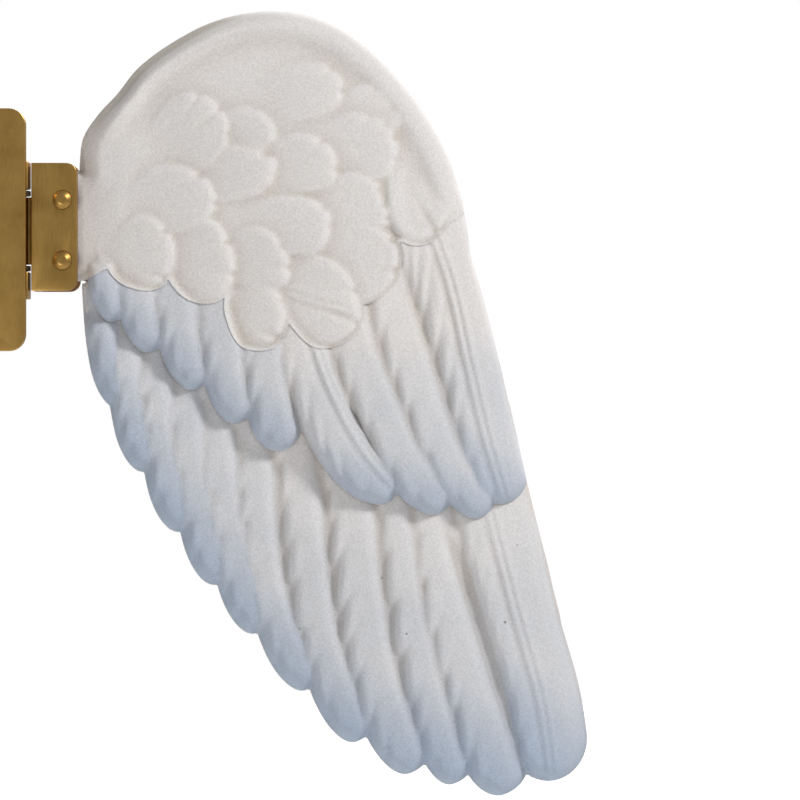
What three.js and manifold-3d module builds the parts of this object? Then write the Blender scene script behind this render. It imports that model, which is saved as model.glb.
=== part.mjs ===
// A pair of bisque porcelain wings for a figure or doll, hinged on a brass back plate.
// Frame: millimetres, +Z up, -Y towards the figure's front, origin at the centre of the plate's front face.
import * as THREE from 'three';
import { mergeVertices } from 'three/addons/utils/BufferGeometryUtils.js';
import { ParametricGeometry } from 'three/addons/geometries/ParametricGeometry.js';
import { TessellateModifier } from 'three/addons/modifiers/TessellateModifier.js';
import Module from 'manifold-3d';

const wasm = await Module();
wasm.setup();

// ---- overall sizes ----
const wing = { reach: 76.5, height: 118 }; // root line to the outermost feather, and top to lowest tip
const drawn = { reach: 76.5, height: 118, rootX: 15.2 }; // the size at which the outlines below are drawn

// ---- porcelain ----
const seam = 0.3; // luting gap between castings
const shellThickness = 2.2;
const frontThickness = 2.2; // plain part of the shoulder casting
const edgeRound = 0.9;
const tongueTop = 1.2; // height of a casting where the next one laps over it
const plateTop = 2.3; // flat part of the covert casting between its feathers
const featherRise = { primary: 2.3, covert: 3.0, scale: 3.5 }; // crest heights above the seam plane
const lap = { end: 0.38, risen: 0.7 }; // shares of a feather's length: where its lap ends, and at full height
const tipLength = 1.1; // of a feather's rounded end, in half widths
// The sheet falls back across its feathers from a crest line, and towards the tips. It is flat near the root.
const crown = { perMm2: 0.0042, sweepPerMm2: 0.0009, crestX: 33, crestZ: -20, rampStart: 1, rampEnd: 35 };
const stub = { top: 8, bottom: -9, overlap: 2 };

// ---- hinge and its metalwork ----
const hinge = { x: 5.6, y: 6, z: -1, pinRadius: 0.8, bore: 1.05, knuckleRadius: 2.2 };
const knuckle = { moving: 10, fixed: 4, washer: 0.8, play: 0.2, lugHalf: 1.2 };
const plate = { halfWidth: 7.5, top: 17, bottom: -19, thickness: 1.6, corner: 2.5 };
const plateHole = { radius: 1.2, upper: 13.2, lower: -15.2 };
const channel = { wall: 1.2, cheek: 1.0, clearance: 0.4, depth: 6.8, margin: 1, mouthGap: 0.2 };
const liner = { thickness: 0.6, gap: 0.15 };
const rivet = {
  radius: 0.8, bore: 1.1, headRadius: 1.5, headHeight: 0.6, headFace: 0.7, fromMouth: 2.2,
  upper: 3.5, lower: -5.5, play: 0.15,
};
const pinHead = { radius: 1.5, height: 0.8, tail: 0.9, play: 0.15, edge: 0.6 };

// ---- mesh fineness ----
const steps = {
  around: 4, along: 6, outline: 1, bevel: 1, corner: 5, cylinder: 12,
  longestEdge: 13, splits: 24, weld: 1e-4,
};

const colours = {
  bisque: 0xdedad6, bisqueTinted: 0xc9ccd3,
  brass: 0xb08d4a, steel: 0x9a9c9e, leather: 0x8a5f3c, nylon: 0xe6e2d6,
};

// Feathers are drawn outermost first: quill end, tip, half width, sideways bow of the shaft.
const primaries = [
  { from: [73.5, -29], to: [86.3, -84], half: 6.6, bow: 0.8 },
  { from: [66.5, -31], to: [78.6, -86], half: 4.9, bow: 0.6 },
  { from: [61, -31], to: [70.2, -84.2], half: 4.5, bow: 0.5 },
  { from: [54.5, -29], to: [62.8, -82.3], half: 4.9, bow: 0.5 },
  { from: [47.5, -26], to: [54.2, -76.4], half: 4.9, bow: 0.5 },
  { from: [42, -22], to: [46.9, -67.3], half: 4.4, bow: 0.4 },
  { from: [36.8, -18.5], to: [40.3, -60.4], half: 4.0, bow: 0.3 },
  { from: [31.8, -14.5], to: [34.4, -53.5], half: 3.8, bow: 0.2 },
  { from: [27, -11.5], to: [29, -45.5], half: 3.6, bow: 0.2 },
  { from: [22.6, -9.5], to: [24, -36.5], half: 3.2, bow: 0.1 },
];
const coverts = [
  { from: [69.2, 0], to: [78.3, -41.8], half: 4.3, bow: 0.7 },
  { from: [64.3, -1], to: [75.2, -43.8], half: 4.4, bow: 0.6 },
  { from: [59, -4], to: [69.6, -43], half: 4.4, bow: 0.2 },
  { from: [54, -10], to: [62.2, -41.6], half: 4.6, bow: -0.6 },
  { from: [48.5, -12], to: [56.8, -40.4], half: 4.6, bow: -1.2 },
  { from: [42.3, -12], to: [44.2, -33.9], half: 3.9, bow: 0 },
  { from: [36.3, -9], to: [37.8, -29.6], half: 3.7, bow: 0 },
  { from: [30.3, -6], to: [31.4, -24.6], half: 3.6, bow: 0 },
  { from: [24.2, -4], to: [25, -19], half: 3.3, bow: 0 },
];
const scales = [
  { from: [43, 20], to: [55.4, 19.4], half: 4.5, bow: 0 },
  { from: [54, 17.8], to: [63.9, 16.2], half: 2.9, bow: 0.4 },
  { from: [51, 13.4], to: [62.8, 10.4], half: 4.4, bow: 0.8 },
  { from: [42.5, 10], to: [54.2, 7.8], half: 4.5, bow: 0.6 },
  { from: [62.5, 13], to: [66.7, -3.2], half: 4.9, bow: 0.8 },
  { from: [50.5, 6], to: [62, 2], half: 3.8, bow: 0.6 },
  { from: [36, 1], to: [53, -1.4], half: 4.6, bow: 0.8 },
  { from: [50, -0.5], to: [62.6, -9], half: 4.6, bow: 1.2 },
  { from: [36, -2.5], to: [46.9, -7], half: 4.0, bow: 0.6 },
  { from: [37.5, -8.5], to: [45.9, -17.5], half: 3.9, bow: 1.0 },
  { from: [43.5, -6.5], to: [56.6, -15.8], half: 4.8, bow: 1.2 },
  { from: [24, 15.4], to: [37.6, 13.6], half: 5.2, bow: 0.6 },
  { from: [34, 14.6], to: [44.8, 13], half: 3.2, bow: 0.4 },
  { from: [32, 8.4], to: [44.7, 6], half: 4.2, bow: 0.6 },
  { from: [26, 6.5], to: [36.5, 1.5], half: 4.4, bow: 0.8 },
  { from: [28, -1], to: [37.5, -11.5], half: 4.4, bow: 1.0 },
  { from: [20, 0.5], to: [28.6, -9], half: 4.4, bow: 1.0 },
];

// The leading edge runs from the root round the top of the wing to the coverts, then down to the last tip.
const arch = [
  [15.6, 12.75], [18, 16.5], [21, 20.25], [27, 25.65], [35.5, 30.45], [44.25, 31.95],
  [54.15, 29.7], [62.7, 22.65], [68.5, 14.55], [72, 5.55], [73.3, -2.7],
];
const outerEdge = [[75.3, -9.3], [79.3, -26], [83.6, -47], [87.5, -60.5], [90.4, -71.3], [90.4, -76.5]];
const trailing = [
  [86, -81], [78, -81], [70, -79], [62, -75.5], [54.5, -70], [47.5, -62], [41, -54],
  [34, -46], [28, -36.5], [23.5, -27], [19.5, -18], [16.8, -12],
];
const shoulderLower = [
  [70.5, -2.5], [66, 0.5], [59.5, -3], [52, -9.5], [44, -12], [36, -9], [27, -6.5], [19.5, -6.5],
];
const covertTongue = [
  [71, 2], [62, 4], [52, 0], [42, -3], [30, 0], [20, 0], [19.6, -6], [23, -13], [29, -19], [36, -25],
  [43.5, -29.5], [53, -35.5], [62, -38], [71, -39], [78.6, -36.5], [76, -19], [73, -4],
];
const primaryTongue = [
  [79, -28], [70, -29.5], [61, -28.5], [52, -25.5], [45, -20], [37, -15.5], [29, -10.5], [22, -7.5],
  [21.6, -14], [24, -23], [29, -34], [36, -43], [48, -52], [62, -58], [78, -60], [84.5, -56],
  [82.6, -43], [81.3, -36],
];

const through = 40; // half length of a cutter that goes right through
const wallInner = hinge.x + hinge.knuckleRadius + channel.clearance;
const wallOuter = wallInner + channel.wall;
const mouth = wallInner + channel.depth;
const rootX = mouth + channel.mouthGap; // where the porcelain starts to spread
const rivetX = mouth - rivet.fromMouth;

// ---------- helpers ----------

function place([x, z]) {
  return new THREE.Vector2(
    rootX + (x - drawn.rootX) * (wing.reach / drawn.reach),
    z * (wing.height / drawn.height),
  );
}

function solid(geometry) {
  geometry.deleteAttribute('normal');
  geometry.deleteAttribute('uv');
  const merged = mergeVertices(geometry, steps.weld);
  const index = merged.index.array;
  const corners = [];
  for (let i = 0; i < index.length; i += 3) {
    const [a, b, c] = index.slice(i, i + 3);
    if (a !== b && b !== c && c !== a) corners.push(a, b, c);
  }
  const vertProperties = new Float32Array(merged.getAttribute('position').array);
  return new wasm.Manifold(new wasm.Mesh({ numProp: 3, vertProperties, triVerts: new Uint32Array(corners) }));
}

function surface(body) {
  const { vertProperties, triVerts } = body.getMesh();
  const geometry = new THREE.BufferGeometry();
  geometry.setAttribute('position', new THREE.BufferAttribute(vertProperties, 3));
  geometry.setIndex(new THREE.BufferAttribute(triVerts, 1));
  return geometry;
}

function joined(bodies) {
  return bodies.reduce((whole, body) => whole.add(body));
}

function mirrored(geometry) {
  const twin = geometry.clone();
  twin.scale(-1, 1, 1);
  const index = twin.index.array;
  for (let i = 0; i < index.length; i += 3) [index[i + 1], index[i + 2]] = [index[i + 2], index[i + 1]];
  return twin;
}

function closedSpline(points) {
  const first = place(points[0]);
  const shape = new THREE.Shape();
  shape.moveTo(first.x, first.y);
  shape.splineThru([...points.slice(1).map(place), first]);
  return shape;
}

// A plate in the wing's own sheet: x outwards, y up, z towards the front.
function sheet(shape, low, high, { round = 0, grow = 0 } = {}) {
  const bevel = Math.max(round, grow);
  return solid(new THREE.ExtrudeGeometry(shape, {
    depth: high - low - 2 * round,
    curveSegments: steps.outline,
    bevelEnabled: bevel > 0,
    bevelSize: bevel,
    bevelThickness: round,
    bevelOffset: grow - bevel,
    bevelSegments: steps.bevel,
  }).translate(0, 0, low + round));
}

// One feather or scale: a long dome with a flat back and rounded ends.
function feather({ from, to, half, bow }, bottom, top, { quill = top, grow = 0 } = {}) {
  const start = place(from);
  const end = place(to);
  const along = end.clone().sub(start).normalize();
  const side = new THREE.Vector2(-along.y, along.x);
  end.addScaledVector(along, grow);
  const middle = start.clone().lerp(end, 0.5).addScaledVector(side, 2 * bow);
  const shaft = new THREE.QuadraticBezierCurve(start, middle, end);
  const tipStart = 1 - tipLength * half / shaft.getLength();
  return solid(new ParametricGeometry((u, v, target) => {
    const tipTurn = Math.max(0, 2 * v - 1) * Math.PI / 2;
    const t = v < 0.5 ? tipStart * (2 * v) ** 1.3 : tipStart + (1 - tipStart) * Math.sin(tipTurn);
    const spread = v < 0.5 ? Math.min(1, v * steps.along) : Math.cos(tipTurn);
    const crest = THREE.MathUtils.lerp(quill, top, THREE.MathUtils.smoothstep(t, lap.end, lap.risen));
    const turn = 2 * Math.PI * u;
    const at = shaft.getPoint(t).addScaledVector(side, Math.cos(turn) * (half + grow) * spread);
    target.set(at.x, at.y, bottom + Math.max(0, Math.sin(turn)) * (crest - bottom) * Math.sqrt(spread));
  }, steps.around, steps.along));
}

function cylinder(radius, low, high, axis, x, y) {
  const body = new THREE.CylinderGeometry(radius, radius, high - low, steps.cylinder);
  if (axis === 'z') body.rotateX(Math.PI / 2);
  const middle = (low + high) / 2;
  return solid(axis === 'z' ? body.translate(x, y, middle) : body.translate(x, middle, y));
}

function block(x, y, z) {
  const size = [x, y, z].map(([low, high]) => high - low);
  const middle = [x, y, z].map(([low, high]) => (low + high) / 2);
  return solid(new THREE.BoxGeometry(...size).translate(...middle));
}

function extrudedUp(points, low, high) {
  const shape = new THREE.Shape(points.map(([x, y]) => new THREE.Vector2(x, y)));
  const upright = new THREE.ExtrudeGeometry(shape, { depth: high - low, bevelEnabled: false });
  return solid(upright.translate(0, 0, low));
}

// ---------- the wing's castings ----------

const featherLean = THREE.MathUtils.degToRad(16); // of the long feathers, from upright

function fallBack(x, y) {
  const out = x - rootX;
  const across = (out - crown.crestX) * Math.cos(featherLean) + (y - crown.crestZ) * Math.sin(featherLean);
  const ramp = THREE.MathUtils.smoothstep(out, crown.rampStart, crown.rampEnd);
  return ramp * (crown.perMm2 * across ** 2 + crown.sweepPerMm2 * (out ** 2 + y ** 2));
}

function bent(body) {
  const fine = new TessellateModifier(steps.longestEdge, steps.splits).modify(surface(body));
  const points = fine.getAttribute('position');
  for (let i = 0; i < points.count; i++) {
    points.setZ(i, points.getZ(i) - fallBack(points.getX(i), points.getY(i)));
  }
  return mergeVertices(fine, steps.weld);
}

function stubBlock(low, high) {
  const start = wallOuter + liner.gap + liner.thickness + seam;
  return block([start, rootX + stub.overlap], [stub.bottom, stub.top], [low, high]);
}

function stubHoles() {
  const heights = [rivet.upper, rivet.lower];
  return joined(heights.map((z) => cylinder(rivet.bore, -through, through, 'z', rivetX, z)));
}

const halfSeam = seam / 2;
const aboveAll = 12; // clear of every casting
const lapFloor = tongueTop + seam; // underside of a casting where it laps over the next one's tongue
const below = -1; // a cutter's start, under every front casting
const rootCorners = [[drawn.rootX, stub.bottom], [drawn.rootX, stub.top]];
const shellShape = closedSpline([...arch, ...outerEdge, ...trailing, ...rootCorners]);
const shoulderShape = closedSpline([...arch, ...shoulderLower, ...rootCorners]);
const covertTongueShape = closedSpline(covertTongue);
const primaryTongueShape = closedSpline(primaryTongue);

function backShell() {
  const body = sheet(shellShape, -halfSeam - shellThickness, -halfSeam, { round: edgeRound });
  return body.add(stubBlock(-halfSeam - shellThickness, -halfSeam)).subtract(stubHoles());
}

function primaryCasting() {
  const rows = primaries.map((each) => feather(each, halfSeam, featherRise.primary, { quill: tongueTop }));
  return joined([sheet(primaryTongueShape, halfSeam, tongueTop), ...rows]);
}

function covertCasting() {
  const rows = coverts.map((each) => feather(each, halfSeam, featherRise.covert, { quill: tongueTop }));
  const lobesAbove = scales.map((each) => feather(each, tongueTop, aboveAll, { grow: 3 * seam }));
  const shoulderAbove = sheet(shoulderShape, tongueTop, aboveAll, { grow: 2 * seam });
  const body = sheet(covertTongueShape, halfSeam, plateTop).subtract(joined([shoulderAbove, ...lobesAbove]));
  const recess = sheet(primaryTongueShape, below, lapFloor, { grow: 2 * seam });
  return joined([body, ...rows]).subtract(recess);
}

function shoulderCasting() {
  const plain = sheet(shoulderShape, halfSeam, halfSeam + frontThickness, { round: edgeRound });
  const lobes = scales.map((each) => feather(each, halfSeam, featherRise.scale));
  const recess = sheet(covertTongueShape, below, lapFloor, { grow: 2 * seam });
  const root = stubBlock(halfSeam, halfSeam + frontThickness);
  return joined([plain, root, ...lobes]).subtract(recess).subtract(stubHoles());
}

// ---------- the hinge's metalwork, drawn for the left wing ----------

const hingePoint = new THREE.Vector2(hinge.x, hinge.y);
const knuckleEnd = knuckle.moving / 2;
const washerLow = knuckleEnd + knuckle.play;
const armLow = washerLow + knuckle.washer + knuckle.play;
const armHigh = armLow + knuckle.fixed;
const packHalf = halfSeam + Math.max(shellThickness, frontThickness); // half the porcelain root's thickness
const linerInner = packHalf + liner.gap;
const linerOuter = linerInner + liner.thickness;
const cheekInner = linerOuter + liner.gap;
const cheekOuter = cheekInner + channel.cheek;
const channelSpan = [stub.bottom - channel.margin, stub.top + channel.margin];

function upright(radius, low, high) {
  return cylinder(radius, hinge.z + low, hinge.z + high, 'z', hingePoint.x, hingePoint.y);
}

function knuckleBore() {
  return upright(hinge.bore, -through, through);
}

function rivetHoles() {
  const heights = [rivet.upper, rivet.lower];
  return joined(heights.map((z) => cylinder(rivet.bore, -through, through, 'y', rivetX, z)));
}

function uSection(inner, outer, back, closedTo, open) {
  return [
    [back, hinge.y - outer], [open, hinge.y - outer], [open, hinge.y - inner], [closedTo, hinge.y - inner],
    [closedTo, hinge.y + inner], [open, hinge.y + inner], [open, hinge.y + outer], [back, hinge.y + outer],
  ];
}

// A U-shaped channel that holds the porcelain root, with the moving knuckle on its back.
function rootChannel() {
  const section = uSection(cheekInner, cheekOuter, wallInner, wallOuter, mouth);
  const lug = block(
    [hinge.x, (wallInner + wallOuter) / 2],
    [hinge.y - knuckle.lugHalf, hinge.y + knuckle.lugHalf],
    [hinge.z - knuckleEnd, hinge.z + knuckleEnd],
  );
  const barrel = upright(hinge.knuckleRadius, -knuckleEnd, knuckleEnd);
  const body = joined([extrudedUp(section, ...channelSpan), barrel, lug]);
  return surface(body.subtract(knuckleBore()).subtract(rivetHoles()));
}

function rootLiner() {
  const back = wallOuter + liner.gap;
  const section = uSection(linerInner, linerOuter, back, back + liner.thickness, mouth);
  return surface(extrudedUp(section, ...channelSpan).subtract(rivetHoles()));
}

function rootRivet(z) {
  const face = cheekOuter + rivet.play;
  const tip = face + rivet.headHeight;
  const profile = [
    [0, -tip], [rivet.headRadius * rivet.headFace, -tip], [rivet.headRadius, -face], [rivet.radius, -face],
    [rivet.radius, face], [rivet.headRadius, face], [rivet.headRadius * rivet.headFace, tip], [0, tip],
  ].map(([x, y]) => new THREE.Vector2(x, y));
  return surface(solid(new THREE.LatheGeometry(profile, steps.cylinder).translate(rivetX, hinge.y, z)));
}

function washer(low) {
  return surface(upright(hinge.knuckleRadius, low, low + knuckle.washer).subtract(knuckleBore()));
}

function hingePin() {
  const top = armHigh + pinHead.play;
  const profile = [
    [0, -armHigh - pinHead.tail], [hinge.pinRadius, -armHigh - pinHead.tail], [hinge.pinRadius, top],
    [pinHead.radius, top], [pinHead.radius, top + pinHead.height * pinHead.edge],
    [pinHead.radius * pinHead.edge, top + pinHead.height], [0, top + pinHead.height],
  ].map(([x, y]) => new THREE.Vector2(x, y));
  const turned = new THREE.LatheGeometry(profile, steps.cylinder).rotateX(Math.PI / 2);
  return surface(solid(turned.translate(hingePoint.x, hingePoint.y, hinge.z)));
}

function fixedKnuckle(side, low) {
  const arm = block(
    [hinge.x - hinge.knuckleRadius, hinge.x + hinge.knuckleRadius],
    [plate.thickness / 2, hinge.y],
    [hinge.z + low, hinge.z + low + knuckle.fixed],
  );
  const knuckleBody = arm.add(upright(hinge.knuckleRadius, low, low + knuckle.fixed)).subtract(knuckleBore());
  return side > 0 ? knuckleBody : solid(mirrored(surface(knuckleBody)));
}

function roundedPlate() {
  const { halfWidth: w, top, bottom, corner: r } = plate;
  const shape = new THREE.Shape();
  shape.absarc(w - r, top - r, r, 0, Math.PI / 2);
  shape.absarc(-w + r, top - r, r, Math.PI / 2, Math.PI);
  shape.absarc(-w + r, bottom + r, r, Math.PI, 1.5 * Math.PI);
  shape.absarc(w - r, bottom + r, r, 1.5 * Math.PI, 2 * Math.PI);
  const flat = new THREE.ExtrudeGeometry(shape, {
    depth: plate.thickness,
    bevelEnabled: false,
    curveSegments: steps.corner,
  });
  return solid(flat.rotateX(Math.PI / 2).translate(0, plate.thickness, 0));
}

function backPlate() {
  const heights = [plateHole.upper, plateHole.lower];
  const holes = heights.map((z) => cylinder(plateHole.radius, -through, through, 'y', 0, z));
  const knuckles = [-1, 1].flatMap((side) => [fixedKnuckle(side, armLow), fixedKnuckle(side, -armHigh)]);
  return surface(joined([roundedPlate(), ...knuckles]).subtract(joined(holes)));
}

// ---------- the assembly ----------

const finish = {
  bisque: new THREE.MeshStandardMaterial({ color: colours.bisque, roughness: 0.85, metalness: 0 }),
  tinted: new THREE.MeshStandardMaterial({ color: colours.bisqueTinted, roughness: 0.85, metalness: 0 }),
  brass: new THREE.MeshStandardMaterial({ color: colours.brass, roughness: 0.35, metalness: 1 }),
  steel: new THREE.MeshStandardMaterial({ color: colours.steel, roughness: 0.3, metalness: 1 }),
  leather: new THREE.MeshStandardMaterial({ color: colours.leather, roughness: 0.8, metalness: 0 }),
  nylon: new THREE.MeshStandardMaterial({ color: colours.nylon, roughness: 0.5, metalness: 0 }),
};

function named(name, geometry, material) {
  geometry.computeVertexNormals();
  const mesh = new THREE.Mesh(geometry, material);
  mesh.name = name;
  return mesh;
}

const castings = [
  ['back_shell', bent(backShell()), finish.bisque],
  ['primary_feathers', bent(primaryCasting()), finish.tinted],
  ['covert_feathers', bent(covertCasting()), finish.tinted],
  ['shoulder_scales', bent(shoulderCasting()), finish.bisque],
];
const metalwork = [
  ['root_channel', rootChannel(), finish.brass],
  ['root_liner', rootLiner(), finish.leather],
  ['root_rivet_upper', rootRivet(rivet.upper), finish.brass],
  ['root_rivet_lower', rootRivet(rivet.lower), finish.brass],
  ['hinge_washer_upper', washer(washerLow), finish.nylon],
  ['hinge_washer_lower', washer(-washerLow - knuckle.washer), finish.nylon],
  ['hinge_pin', hingePin(), finish.steel],
];

// The castings lie in the wing's sheet, which stands upright at the hinge's depth.
function wingGroup(prefix, twin) {
  const group = new THREE.Group();
  const sheetGroup = new THREE.Group();
  sheetGroup.rotation.x = Math.PI / 2;
  sheetGroup.position.y = hinge.y;
  for (const [name, geometry, material] of castings) {
    sheetGroup.add(named(`${prefix}_${name}`, twin(geometry), material));
  }
  group.add(sheetGroup);
  for (const [name, geometry, material] of metalwork) {
    group.add(named(`${prefix}_${name}`, twin(geometry), material));
  }
  return group;
}

const wings = new THREE.Group();
wings.add(named('back_plate', backPlate(), finish.brass));
wings.add(wingGroup('left', (geometry) => geometry.clone()));
wings.add(wingGroup('right', mirrored));

export default wings;
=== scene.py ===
import math
import bpy
import numpy as np
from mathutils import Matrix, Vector


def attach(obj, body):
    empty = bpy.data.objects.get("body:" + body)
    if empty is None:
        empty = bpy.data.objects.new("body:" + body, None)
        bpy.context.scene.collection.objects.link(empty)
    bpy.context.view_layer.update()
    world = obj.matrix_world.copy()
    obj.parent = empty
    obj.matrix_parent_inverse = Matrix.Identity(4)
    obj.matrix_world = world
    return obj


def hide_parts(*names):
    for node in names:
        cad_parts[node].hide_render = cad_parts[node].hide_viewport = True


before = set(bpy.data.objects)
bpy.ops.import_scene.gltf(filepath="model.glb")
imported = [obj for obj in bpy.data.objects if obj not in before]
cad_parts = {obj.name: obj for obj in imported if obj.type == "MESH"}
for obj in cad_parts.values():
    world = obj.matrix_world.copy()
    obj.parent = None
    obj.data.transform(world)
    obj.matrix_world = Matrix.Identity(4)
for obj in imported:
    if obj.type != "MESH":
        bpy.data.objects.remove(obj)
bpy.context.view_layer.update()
mm = 0.001  # sizes below are in millimetres, meshes are in metres


def report(stage):
    print("scene:", stage, flush=True)


# The camera looks straight along +Y at the left wing; at planeY its view is this wide.
view = {"middleX": 63, "middleZ": -26.25, "wide": 120, "planeY": 8, "lens": 200, "sensor": 36}


def addCamera():
    data = bpy.data.cameras.new("camera")
    data.lens = view["lens"]
    data.sensor_width = view["sensor"]
    away = view["wide"] * view["lens"] / view["sensor"]
    camera = bpy.data.objects.new("camera", data)
    camera.location = Vector((view["middleX"], view["planeY"] - away, view["middleZ"])) * mm
    camera.rotation_euler = (math.pi / 2, 0, 0)
    bpy.context.scene.collection.objects.link(camera)
    bpy.context.scene.camera = camera
    bpy.context.scene.view_settings.view_transform = "Standard"


lamps = {
    "key": {"at": (770, -480, 580), "size": 240, "power": 6.2, "colour": "#fefefe"},
    "fill": {"at": (-260, -620, -400), "size": 140, "power": 0.9, "colour": "#fffdfa"},
    "rear": {"at": (300, 700, 500), "size": 600, "power": 6.0, "colour": "#ffffff"},
}
# The room lights the wings evenly, and shows white behind them; the floor is far below.
surround = {"light": 0.44, "seen": 1.0, "floorZ": -480, "floorWide": 12000, "floorColour": "#f4f4f4"}


def linear(colour):
    channels = [int(colour[i:i + 2], 16) / 255 for i in (1, 3, 5)]
    return [c / 12.92 if c <= 0.04045 else ((c + 0.055) / 1.055) ** 2.4 for c in channels] + [1]


# settings are values by property or socket; links are sockets of other nodes by this node's socket.
def addNode(tree, kind, settings=None, links=None):
    node = tree.nodes.new("ShaderNode" + kind)
    for key, value in (settings or {}).items():
        if isinstance(key, int) or key in node.inputs:
            node.inputs[key].default_value = value
        else:
            setattr(node, key, value)
    for key, source in (links or {}).items():
        tree.links.new(source, node.inputs[key])
    return node


# A mix node's settings for two colours.
def twoColours(first, second):
    return {"data_type": "RGBA", 6: linear(first), 7: linear(second)}


def emptyMaterial(name):
    material = bpy.data.materials.new(name)
    material.use_nodes = True
    material.node_tree.nodes.clear()
    return material, material.node_tree


def addLamp(name, lamp):
    data = bpy.data.lights.new(name, "AREA")
    data.shape = "DISK"
    data.size = lamp["size"] * mm
    data.energy = lamp["power"]
    data.color = linear(lamp["colour"])[:3]
    light = bpy.data.objects.new(name, data)
    light.location = Vector(lamp["at"]) * mm
    aim = Vector((view["middleX"], 0, view["middleZ"])) * mm - light.location
    light.rotation_euler = aim.to_track_quat("-Z", "Y").to_euler()
    light.visible_camera = False
    bpy.context.scene.collection.objects.link(light)


def addSurround():
    world = bpy.data.worlds.new("studio")
    bpy.context.scene.world = world
    world.use_nodes = True
    tree = world.node_tree
    tree.nodes.clear()
    path = addNode(tree, "LightPath")
    strength = addNode(tree, "MapRange", {3: surround["light"], 4: surround["seen"]},
                       {0: path.outputs["Is Camera Ray"]})
    glow = addNode(tree, "Background", {"Color": (1, 1, 1, 1)}, {"Strength": strength.outputs[0]})
    addNode(tree, "OutputWorld", links={"Surface": glow.outputs[0]})


# White paper: matte, and as bright as the room behind it.
def addFloor():
    bpy.ops.object.select_all(action="DESELECT")
    place = (0, 0, surround["floorZ"] * mm)
    bpy.ops.mesh.primitive_plane_add(size=surround["floorWide"] * mm, location=place)
    floor = bpy.context.object
    floor.name = "floor"
    paper, tree = emptyMaterial("whitePaper")
    matte = addNode(tree, "BsdfDiffuse", {"Color": linear(surround["floorColour"])})
    path = addNode(tree, "LightPath")
    glow = addNode(tree, "Emission", links={"Strength": path.outputs["Is Camera Ray"]})
    both = addNode(tree, "AddShader", links={0: matte.outputs[0], 1: glow.outputs[0]})
    addNode(tree, "OutputMaterial", links={"Surface": both.outputs[0]})
    floor.data.materials.append(paper)


addCamera()
for lampName, lamp in lamps.items():
    addLamp(lampName, lamp)
addSurround()
addFloor()
report("camera, lamps and floor")

# The wing's relief is drawn on a sheet: x outwards, z up, heights towards the front.
sheet = {"left": 6, "right": 97, "low": -92, "high": 38, "pitch": 0.2}
sheetX, sheetZ = np.meshgrid(
    np.arange(sheet["left"], sheet["right"], sheet["pitch"]),
    np.arange(sheet["low"], sheet["high"], sheet["pitch"]),
)


# 0 below low, 1 above high, with a smooth run between.
def smooth(value, low, high):
    share = np.clip((value - low) / (high - low), 0, 1)
    return share * share * (3 - 2 * share)


# 1 on a line at offset 0, falling away within about a width on each side.
def bump(offset, width):
    return np.exp(-(offset / width) ** 2)


# A smooth line through the points.
def spline(points, closed=False, steps=6):
    points = np.array(points, float)
    if closed:
        ring = np.vstack([points[-1], points, points[:2]])
    else:
        ring = np.vstack([2 * points[0] - points[1], points, 2 * points[-1] - points[-2]])
    t = np.linspace(0, 1, steps, endpoint=False)[:, None]
    spans = []
    for a, b, c, d in zip(ring, ring[1:], ring[2:], ring[3:]):
        bend = (2 * a - 5 * b + 4 * c - d) * t ** 2 + (3 * b - a - 3 * c + d) * t ** 3
        spans.append(0.5 * (2 * b + (c - a) * t + bend))
    line = np.vstack(spans)
    return line if closed else np.vstack([line, points[-1]])


# Distance to a closed outline, positive inside it.
def insideDistance(outline, x, z):
    nearest = np.full(x.shape, 1e9)
    odd = np.zeros(x.shape, bool)
    for (ax, az), (bx, bz) in zip(outline, np.roll(outline, -1, axis=0)):
        ex, ez, px, pz = bx - ax, bz - az, x - ax, z - az
        share = np.clip((px * ex + pz * ez) / max(ex * ex + ez * ez, 1e-12), 0, 1)
        nearest = np.minimum(nearest, (px - share * ex) ** 2 + (pz - share * ez) ** 2)
        if az != bz:
            odd ^= ((az > z) != (bz > z)) & (px < ex * pz / ez)
    return np.where(odd, 1, -1) * np.sqrt(nearest)


# How far along a line each point lies, and how far to its side: positive is outwards from the root.
def alongLine(line, x, z):
    nearest = np.full(x.shape, 1e9)
    arc = np.zeros(x.shape)
    side = np.zeros(x.shape)
    run = 0
    for (ax, az), (bx, bz) in zip(line, line[1:]):
        ex, ez, px, pz = bx - ax, bz - az, x - ax, z - az
        length = math.hypot(ex, ez)
        share = np.clip((px * ex + pz * ez) / length ** 2, 0, 1)
        gap = (px - share * ex) ** 2 + (pz - share * ez) ** 2
        closer = gap < nearest
        arc = np.where(closer, run + share * length, arc)
        side = np.where(closer, np.sign(ex * pz - ez * px) * np.sqrt(gap), side)
        nearest = np.where(closer, gap, nearest)
        run += length
    return arc, side, run


# Softens a sheet of heights over a distance in millimetres.
def blurred(values, reach):
    steps = int(math.ceil(2.5 * reach / sheet["pitch"]))
    offsets = np.arange(-steps, steps + 1)
    weights = np.exp(-0.5 * (offsets * sheet["pitch"] / reach) ** 2)
    weights /= weights.sum()
    for axis in (0, 1):
        padded = np.pad(values, [(steps, steps) if i == axis else (0, 0) for i in (0, 1)], mode="edge")
        count = values.shape[axis]
        values = sum(w * np.take(padded, range(k, k + count), axis=axis) for k, w in enumerate(weights))
    return values


# The whole wing bends back across the feathers from a leaning crest line, and towards the tips.
wingBend = {
    "rootX": 15.2, "crestOut": 33, "crestZ": -20, "lean": 16, "from": 1, "to": 35,
    "across": 0.0042, "tips": 0.0009,
}


def fallBack(x, z):
    lean = math.radians(wingBend["lean"])
    out = x - wingBend["rootX"]
    across = (out - wingBend["crestOut"]) * math.cos(lean) + (z - wingBend["crestZ"]) * math.sin(lean)
    fall = wingBend["across"] * across ** 2 + wingBend["tips"] * (out ** 2 + z ** 2)
    return smooth(out, wingBend["from"], wingBend["to"]) * fall


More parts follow.
